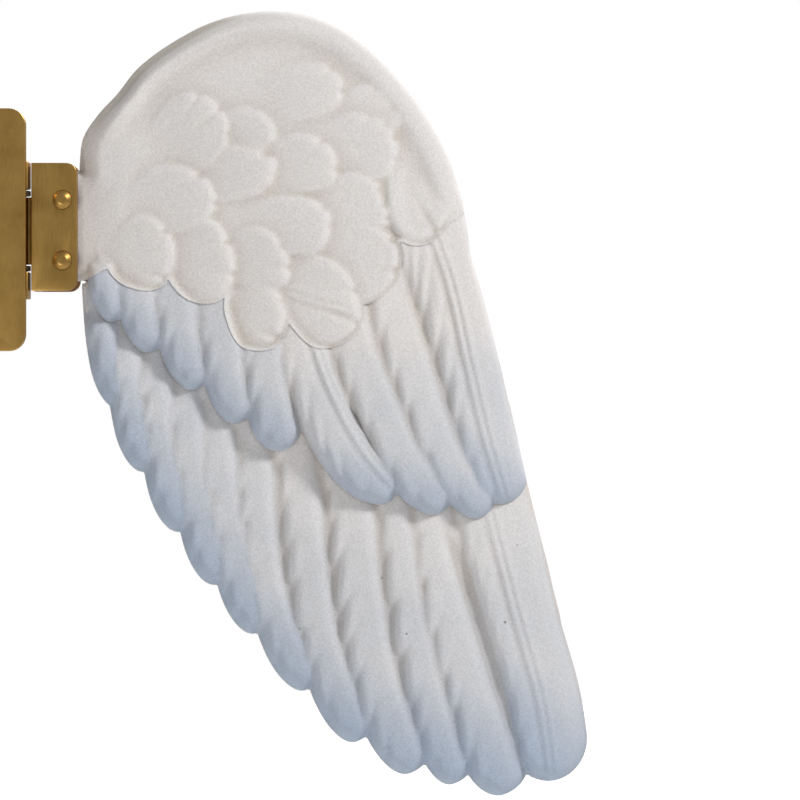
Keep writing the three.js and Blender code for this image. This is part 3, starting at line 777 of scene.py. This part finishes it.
# A closed casting: the grid is raised to the tier's front, and extruded to its underside.
def castPiece(name, tier, pitch):
    piece = cutGrid(name, tier, pitch)
    mesh = piece.data
    fitRim(mesh, tier["edge"])
    editPiece("FACE", "SELECT")
    bpy.ops.mesh.extrude_region()
    objectMode()
    rear = selectedPoints(mesh)
    points = readPoints(mesh)
    x, z = points[:, 0].copy(), points[:, 1].copy()
    height = np.where(rear, sampled(tier["under"], x, z), sampled(tier["front"], x, z))
    points[:, 1] = sheetFront - height + fallBack(x, z)
    points[:, 2] = z
    writePoints(mesh, points * mm)

    # The hollow map marks where the bisque material paints shade: a darker, warmer white and a deeper blue in
    # hollows.
    hollow = blurred(tier["outward"], hollowReach) - tier["outward"]
    for key, values in (("tint", tier["tint"]), ("hollow", np.clip(0.5 + hollow, 0, 1))):
        attribute = mesh.attributes.new(key, "FLOAT", "POINT")
        attribute.data.foreach_set("value", sampled(values, x, z).astype(np.float32))
    turnOutward(piece)
    report(f"{name}: {2 * len(mesh.polygons)} triangles")
    return piece


def mirroredTwin(piece, name):
    twin = piece.copy()
    twin.data = piece.data.copy()
    twin.name = name
    bpy.context.scene.collection.objects.link(twin)
    points = readPoints(twin.data)
    points[:, 0] *= -1
    writePoints(twin.data, points)
    turnOutward(twin)
    return twin


# Bisque: unglazed porcelain, slip-cast and fired matte, with a fine grain and a few pinholes. The tips are
# airbrushed blue, so the colour has no edge; hollows are painted a little darker and warmer, as painted shade.
# recess and deep are painted shade: the colours painted into hollows, on the white and on the blue.
bisqueLook = {
    "white": "#e4e0dd", "cloud": "#dbd7d5", "blue": "#a9b5c6", "deep": "#9ba8ba", "recess": "#c3b9ae",
    "pit": "#8d8a8c", "cloudSize": 9, "recessShare": 0.68, "speck": (0.87, 1.09), "roughness": 0.82,
    "grain": 0.3, "grainDeep": 0.07, "pinhole": 5.5, "pinholeDeep": 0.12, "glow": 0.6,
}


def bisqueMaterial(name, pinholes):
    look = bisqueLook
    material, tree = emptyMaterial(name)
    place = addNode(tree, "TexCoord").outputs["Object"]
    tint = addNode(tree, "Attribute", {"attribute_name": "tint"}).outputs["Fac"]
    hollow = addNode(tree, "Attribute", {"attribute_name": "hollow"}).outputs["Fac"]
    clouds = addNode(tree, "TexNoise", {"Scale": 1000 / look["cloudSize"], "Detail": 3},
                     {"Vector": place}).outputs["Fac"]
    body = addNode(tree, "Mix", twoColours(look["white"], look["cloud"]), {0: clouds})
    # Painted shade: hollows take the darker, warmer recess colour, so creases look shaded.
    sunk = addNode(tree, "MapRange", {1: 0.5, 2: 0.95, 4: look["recessShare"]}, {0: hollow})
    shaded = addNode(tree, "Mix", {"data_type": "RGBA", 7: linear(look["recess"])},
                     {0: sunk.outputs[0], 6: body.outputs[2]})
    # Painted shade on the blue too: in hollows the tips' blue turns to the deeper blue.
    blues = addNode(tree, "Mix", twoColours(look["blue"], look["deep"]), {0: sunk.outputs[0]})
    spray = addNode(tree, "Math", {"operation": "MULTIPLY_ADD", 1: 0.25, 2: -0.12}, {0: clouds})
    sprayed = addNode(tree, "Math", {"operation": "ADD", "use_clamp": True},
                      {0: tint, 1: spray.outputs[0]})
    started = addNode(tree, "MapRange", {2: 0.3}, {0: tint})
    gated = addNode(tree, "Math", {"operation": "MULTIPLY", "use_clamp": True},
                    {0: sprayed.outputs[0], 1: started.outputs[0]})
    painted = addNode(tree, "Mix", {"data_type": "RGBA"},
                      {0: gated.outputs[0], 6: shaded.outputs[2], 7: blues.outputs[2]})
    grain = addNode(tree, "TexNoise",
                    {"Scale": 1000 / look["grain"], "Detail": 2, "Roughness": 0.7}, {"Vector": place})
    dark, light = look["speck"]
    speck = addNode(tree, "MapRange", {1: 0.3, 2: 0.7, 3: dark, 4: light},
                    {0: grain.outputs["Fac"]})
    grained = addNode(tree, "Mix", {"data_type": "RGBA", "blend_type": "MULTIPLY", 0: 1.0},
                      {6: painted.outputs[2], 7: speck.outputs[0]})
    cells = addNode(tree, "TexVoronoi", {"Scale": 1000 / look["pinhole"]}, {"Vector": place})
    # Painted shade: each pinhole is painted dark grey (pit) inside, as well as bumped in.
    pit = addNode(tree, "MapRange", {1: 0.02, 2: 0.045, 3: pinholes, 4: 0.0},
                  {0: cells.outputs["Distance"]})
    pitted = addNode(tree, "Mix", {"data_type": "RGBA", 7: linear(look["pit"])},
                     {0: pit.outputs[0], 6: grained.outputs[2]})
    fine = addNode(tree, "Bump", {"Strength": 0.7, "Distance": look["grainDeep"] * mm},
                   {"Height": grain.outputs["Fac"]})
    pits = addNode(tree, "Bump",
                   {"Strength": 1.0, "Distance": look["pinholeDeep"] * mm, "invert": True},
                   {"Height": pit.outputs[0], "Normal": fine.outputs[0]})
    shader = addNode(
        tree, "BsdfPrincipled",
        {"Roughness": look["roughness"], "IOR": 1.5, "Specular IOR Level": 0.35, "Subsurface Weight": 0.12,
         "Subsurface Radius": (1.0, 0.9, 0.8), "Subsurface Scale": look["glow"] * mm},
        {"Base Color": pitted.outputs[2], "Normal": pits.outputs[0]},
    )
    addNode(tree, "OutputMaterial", links={"Surface": shader.outputs[0]})
    return material


# Brass: stamped sheet, brushed along its length and lacquered, so it is a little dull in patches.
# Steel: a drawn hinge wire, bright and smooth along its length.
brassLook = {"bright": "#c9a25c", "dull": "#9a7840", "roughness": (0.26, 0.42), "brush": 0.12, "patch": 4.0}
steelLook = {"bright": "#b9bbbe", "dull": "#9b9da1", "roughness": (0.2, 0.3), "brush": 0.1, "patch": 2.0}


def brushedMetal(name, look):
    material, tree = emptyMaterial(name)
    place = addNode(tree, "TexCoord").outputs["Object"]
    stretched = addNode(tree, "Mapping", {"Scale": (1, 1, 0.06)}, {"Vector": place})
    brush = addNode(tree, "TexNoise", {"Scale": 1000 / look["brush"], "Detail": 3},
                    {"Vector": stretched.outputs[0]})
    patch = addNode(tree, "TexNoise", {"Scale": 1000 / look["patch"], "Detail": 4},
                    {"Vector": place})
    patchShare = addNode(tree, "Math", {"operation": "MULTIPLY", 1: 0.6}, {0: patch.outputs["Fac"]})
    mixed = addNode(tree, "Math", {"operation": "MULTIPLY_ADD", 1: 0.4},
                    {0: brush.outputs["Fac"], 2: patchShare.outputs[0]})
    share = addNode(tree, "MapRange", {1: 0.35, 2: 0.7}, {0: mixed.outputs[0]})
    colour = addNode(tree, "Mix", twoColours(look["bright"], look["dull"]), {0: share.outputs[0]})
    low, high = look["roughness"]
    rough = addNode(tree, "MapRange", {3: low, 4: high}, {0: share.outputs[0]})
    lines = addNode(tree, "Bump", {"Strength": 0.25, "Distance": 0.01 * mm},
                    {"Height": brush.outputs["Fac"]})
    shader = addNode(tree, "BsdfPrincipled", {"Metallic": 1.0},
                     {"Base Color": colour.outputs[2], "Roughness": rough.outputs[0],
                      "Normal": lines.outputs[0]})
    addNode(tree, "OutputMaterial", links={"Surface": shader.outputs[0]})
    return material


# Leather: a thin vegetable-tanned liner, matte with a fine pebble. Nylon: turned washers, smooth and waxy.
leatherLook = {
    "light": "#9a6b45", "dark": "#6f4a2e", "grain": 0.5, "raised": 0.08, "cloud": 2.5, "roughness": 0.78,
}
nylonLook = {
    "light": "#efeade", "dark": "#e2dccd", "grain": 0.6, "raised": 0.02, "cloud": 2.5, "roughness": 0.46,
}


def grainedSoft(name, look):
    material, tree = emptyMaterial(name)
    place = addNode(tree, "TexCoord").outputs["Object"]
    pebble = addNode(tree, "TexVoronoi", {"Scale": 1000 / look["grain"]}, {"Vector": place})
    cloud = addNode(tree, "TexNoise", {"Scale": 1000 / look["cloud"], "Detail": 4},
                    {"Vector": place})
    colour = addNode(tree, "Mix", twoColours(look["dark"], look["light"]), {0: cloud.outputs["Fac"]})
    raised = addNode(tree, "Bump", {"Strength": 0.5, "Distance": look["raised"] * mm},
                     {"Height": pebble.outputs["Distance"]})
    shader = addNode(tree, "BsdfPrincipled", {"Roughness": look["roughness"], "IOR": 1.5},
                     {"Base Color": colour.outputs[2], "Normal": raised.outputs[0]})
    addNode(tree, "OutputMaterial", links={"Surface": shader.outputs[0]})
    return material


bisque = bisqueMaterial("unglazedPorcelain", 0.0)
pittedBisque = bisqueMaterial("pinholedPorcelain", 1.0)
brass = brushedMetal("brushedBrass", brassLook)
steel = brushedMetal("drawnSteel", steelLook)
leather = grainedSoft("tannedLeather", leatherLook)
nylon = grainedSoft("turnedNylon", nylonLook)
report("materials")


def addWings():
    plan = (
        ("primaryFeathers", "primary_feathers", primaryTier, "primary", "bisque_tinted"),
        ("covertFeathers", "covert_feathers", covertTier, "covert", "bisque_tinted"),
        ("shoulderScales", "shoulder_scales", shoulderTier, "shoulder", "bisque"),
        ("backShell", "back_shell", backTier, "back", "bisque"),
    )
    for label, node, tier, kind, slotName in plan:
        left = castPiece(label + "Left", tier, castingPitch[kind])
        left.data.materials.append(pittedBisque if kind == "primary" else bisque)
        right = mirroredTwin(left, label + "Right")
        for piece, side in ((left, "left"), (right, "right")):
            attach(piece, f"{side}_wing")
            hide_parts(f"{side}_{node}")


addWings()
report("wings cast")

# The hinge's metalwork is drawn for the left wing. The hinge's upright axis is at x, y, and z is its middle.
hinge = {
    "x": 5.6, "y": 6, "z": -1, "bore": 1.05, "knuckle": 2.2, "moving": 5, "armLow": 6.2, "armHigh": 10.2,
    "through": 30, "sides": 40,
}


def settle(piece):
    choose(piece)
    bpy.ops.object.transform_apply(location=True, rotation=True, scale=True)
    return piece


def addBlock(name, low, high):
    middle = (Vector(low) + Vector(high)) / 2
    bpy.ops.object.select_all(action="DESELECT")
    bpy.ops.mesh.primitive_cube_add(size=1, location=middle * mm)
    piece = bpy.context.object
    piece.name = name
    piece.scale = (Vector(high) - Vector(low)) * mm
    return settle(piece)


# A rod along z or y; with a tip radius it is a cone.
def addRound(name, radius, low, high, axis, across, along, tip=None):
    place = (across, along, (low + high) / 2) if axis == "z" else (across, (low + high) / 2, along)
    turn = (0, 0, 0) if axis == "z" else (-math.pi / 2, 0, 0)
    bpy.ops.object.select_all(action="DESELECT")
    bpy.ops.mesh.primitive_cone_add(
        vertices=hinge["sides"], radius1=radius * mm, radius2=(radius if tip is None else tip) * mm,
        depth=(high - low) * mm, location=Vector(place) * mm, rotation=turn,
    )
    piece = bpy.context.object
    piece.name = name
    return settle(piece)


# A rod on the hinge's axis.
def onAxis(name, radius, low, high, tip=None, side=1):
    return addRound(name, radius, low, high, "z", side * hinge["x"], hinge["y"], tip)


def combine(piece, other, how):
    choose(piece)
    step = piece.modifiers.new(how, "BOOLEAN")
    step.operation = how
    step.solver = "EXACT"
    step.object = other
    bpy.ops.object.modifier_apply(modifier=step.name)
    bpy.data.objects.remove(other)
    return piece


def boreThrough(piece, side=1):
    bore = onAxis("bore", hinge["bore"], -hinge["through"], hinge["through"], side=side)
    return combine(piece, bore, "DIFFERENCE")


# Merges points closer than reach, and drops the faces that this leaves without area.
def mergeSlivers(piece, reach):
    choose(piece)
    bpy.ops.object.mode_set(mode="EDIT")
    bpy.ops.mesh.select_all(action="SELECT")
    bpy.ops.mesh.remove_doubles(threshold=reach * mm)
    bpy.ops.mesh.dissolve_degenerate(threshold=reach * mm)
    bpy.ops.mesh.select_all(action="SELECT")
    bpy.ops.mesh.dissolve_limited(angle_limit=math.radians(0.5))
    objectMode()


def easeEdges(piece, width, segments=3, angle=40):
    mergeSlivers(piece, 0.02)
    step = piece.modifiers.new("eased", "BEVEL")
    step.width = width * mm
    step.segments = segments
    step.limit_method = "ANGLE"
    step.angle_limit = math.radians(angle)
    step.use_clamp_overlap = True
    bpy.ops.object.modifier_apply(modifier=step.name)
    mergeSlivers(piece, 0.002)
    bpy.ops.object.shade_smooth_by_angle(angle=math.radians(35))
    return piece


# Bevels the edges for which wanted(start, end) holds.
def bevelEdges(piece, wanted, width, segments):
    choose(piece)
    editPiece("EDGE")
    objectMode()
    mesh = piece.data
    for edge in mesh.edges:
        start, end = (mesh.vertices[k].co / mm for k in edge.vertices)
        edge.select = wanted(start, end)
    bpy.ops.object.mode_set(mode="EDIT")
    bpy.ops.mesh.bevel(offset=width * mm, segments=segments, affect="EDGES")
    objectMode()


def alongY(start, end):
    return abs(start.x - end.x) < 0.01 and abs(start.z - end.z) < 0.01


# Sinks a panel in the face that looks along normal, inside a border.
def framedFace(piece, normal, border, depth):
    choose(piece)
    editPiece("FACE")
    objectMode()
    for face in piece.data.polygons:
        face.select = face.normal.dot(Vector(normal)) > 0.99
    bpy.ops.object.mode_set(mode="EDIT")
    bpy.ops.mesh.inset(thickness=border * mm, depth=0)
    bpy.ops.mesh.inset(thickness=depth * mm, depth=-depth * mm)
    objectMode()


plateSize = {
    "halfWide": 7.5, "top": 17, "bottom": -19, "thick": 1.6, "corner": 2.5, "border": 1.1, "panel": 0.25,
    "armSunk": 0.6, "holeZ": (13.2, -15.2), "hole": 1.2, "sinkFrom": (0.2, 0.7), "sink": 2.1, "eased": 0.16,
}


def backPlatePiece():
    size = plateSize
    piece = addBlock("backPlateBrass", (-size["halfWide"], 0, size["bottom"]),
                     (size["halfWide"], size["thick"], size["top"]))
    bevelEdges(piece, alongY, size["corner"], 8)
    framedFace(piece, (0, 1, 0), size["border"], size["panel"])
    for side in (-1, 1):
        for low, high in ((hinge["armLow"], hinge["armHigh"]), (-hinge["armHigh"], -hinge["armLow"])):
            bottom, top = hinge["z"] + low, hinge["z"] + high
            middle = side * hinge["x"]
            arm = addBlock("arm", (middle - hinge["knuckle"], size["thick"] - size["armSunk"], bottom),
                           (middle + hinge["knuckle"], hinge["y"], top))
            barrel = onAxis("barrel", hinge["knuckle"], bottom, top, side=side)
            combine(piece, combine(arm, barrel, "UNION"), "UNION")
    for side in (-1, 1):
        boreThrough(piece, side)
    sinkAt, sinkShare = size["sinkFrom"]
    for z in size["holeZ"]:
        combine(piece, addRound("hole", size["hole"], -5, 5, "y", 0, z), "DIFFERENCE")
        low, high = sinkAt, size["thick"] + 0.3
        sunk = addRound("sunk", size["hole"] * sinkShare, low, high, "y", 0, z, size["sink"])
        combine(piece, sunk, "DIFFERENCE")
    return easeEdges(piece, size["eased"])


channelSize = {
    "back": 8.2, "wall": 9.4, "mouth": 15.0, "inner": 3.25, "outer": 4.25, "top": 9, "bottom": -10,
    "corner": 1.6, "lugHalf": 1.2, "lugInto": 0.6, "eased": 0.18,
}


# A block hollowed to a U, with its mouth outwards and the mouth's corners rounded.
def uPiece(name, size):
    low, high, mouth, corner = (channelSize[key] for key in ("bottom", "top", "mouth", "corner"))
    piece = addBlock(name, (size["back"], hinge["y"] - size["outer"], low),
                     (mouth, hinge["y"] + size["outer"], high))
    hollow = addBlock("hollow", (size["wall"], hinge["y"] - size["inner"], low - 5),
                      (mouth + 5, hinge["y"] + size["inner"], high + 5))
    combine(piece, hollow, "DIFFERENCE")

    def atMouth(start, end):
        return alongY(start, end) and start.x > mouth - 0.1

    bevelEdges(piece, atMouth, corner, 6)
    return piece


def drillRivetHoles(piece):
    for z in root["rivetZ"]:
        combine(piece, addRound("hole", root["hole"], -5, 20, "y", root["rivetX"], z), "DIFFERENCE")


def channelPiece():
    size = channelSize
    piece = uPiece("rootChannelLeft", size)
    low, high = hinge["z"] - hinge["moving"], hinge["z"] + hinge["moving"]
    lug = addBlock("lug", (hinge["x"], hinge["y"] - size["lugHalf"], low),
                   (size["back"] + size["lugInto"], hinge["y"] + size["lugHalf"], high))
    barrel = onAxis("barrel", hinge["knuckle"], low, high)
    combine(piece, combine(lug, barrel, "UNION"), "UNION")
    boreThrough(piece)
    drillRivetHoles(piece)
    return easeEdges(piece, size["eased"])


linerSize = {"back": 9.55, "wall": 10.15, "inner": 2.5, "outer": 3.1, "eased": 0.1}


def linerPiece():
    piece = uPiece("rootLinerLeft", linerSize)
    drillRivetHoles(piece)
    return easeEdges(piece, linerSize["eased"], segments=2)


rivetSize = {"radius": 0.8, "head": 1.5, "crown": 0.45, "rise": 0.62, "face": 4.4, "past": 0.2, "eased": 0.22}


def rivetPiece(name, z):
    size = rivetSize
    piece = addRound(name, size["radius"], hinge["y"] - size["face"] - size["past"],
                     hinge["y"] + size["face"] + size["past"], "y", root["rivetX"], z)
    for side in (-1, 1):
        inner = hinge["y"] + side * size["face"]
        outer = inner + side * size["rise"]
        wide, narrow = size["head"], size["head"] * size["crown"]
        low, high = min(inner, outer), max(inner, outer)
        ends = (wide, narrow) if side > 0 else (narrow, wide)
        head = addRound("head", ends[0], low, high, "y", root["rivetX"], z, tip=ends[1])
        combine(piece, head, "UNION")
    return easeEdges(piece, size["eased"], segments=4, angle=20)


washerSize = {"thick": 0.8, "upper": 5.2, "lower": -6.0, "eased": 0.12}


def washerPiece(name, low):
    piece = onAxis(name, hinge["knuckle"], hinge["z"] + low, hinge["z"] + low + washerSize["thick"])
    return easeEdges(boreThrough(piece), washerSize["eased"])


pinSize = {
    "radius": 0.8, "below": 0.9, "above": 0.5, "head": 1.5, "crown": 1.05, "from": 0.15, "to": 0.95,
    "eased": 0.2,
}


def pinPiece():
    size = pinSize
    high = hinge["z"] + hinge["armHigh"]
    low = hinge["z"] - hinge["armHigh"]
    piece = onAxis("hingePinLeft", size["radius"], low - size["below"], high + size["above"])
    head = onAxis("head", size["head"], high + size["from"], high + size["to"], tip=size["crown"])
    combine(piece, head, "UNION")
    return easeEdges(piece, size["eased"], segments=4)


def addMetalwork():
    plate = backPlatePiece()
    plate.data.materials.append(brass)
    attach(plate, "root")
    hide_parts("back_plate")
    upper, lower = root["rivetZ"]
    above, below = washerSize["upper"], washerSize["lower"]
    plan = (
        (channelPiece(), "root_channel", "wing", brass, "brass"),
        (linerPiece(), "root_liner", "wing", leather, "leather"),
        (rivetPiece("rootRivetUpperLeft", upper), "root_rivet_upper", "wing", brass, "brass"),
        (rivetPiece("rootRivetLowerLeft", lower), "root_rivet_lower", "wing", brass, "brass"),
        (washerPiece("hingeWasherUpperLeft", above), "hinge_washer_upper", "root", nylon, "nylon"),
        (washerPiece("hingeWasherLowerLeft", below), "hinge_washer_lower", "root", nylon, "nylon"),
        (pinPiece(), "hinge_pin", "root", steel, "steel"),
    )
    for piece, node, body, material, slotName in plan:
        piece.data.materials.clear()
        piece.data.materials.append(material)
        twin = mirroredTwin(piece, piece.name.replace("Left", "Right"))
        for each, side in ((piece, "left"), (twin, "right")):
            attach(each, body if body == "root" else f"{side}_wing")
            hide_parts(f"{side}_{node}")


addMetalwork()
report("metalwork")
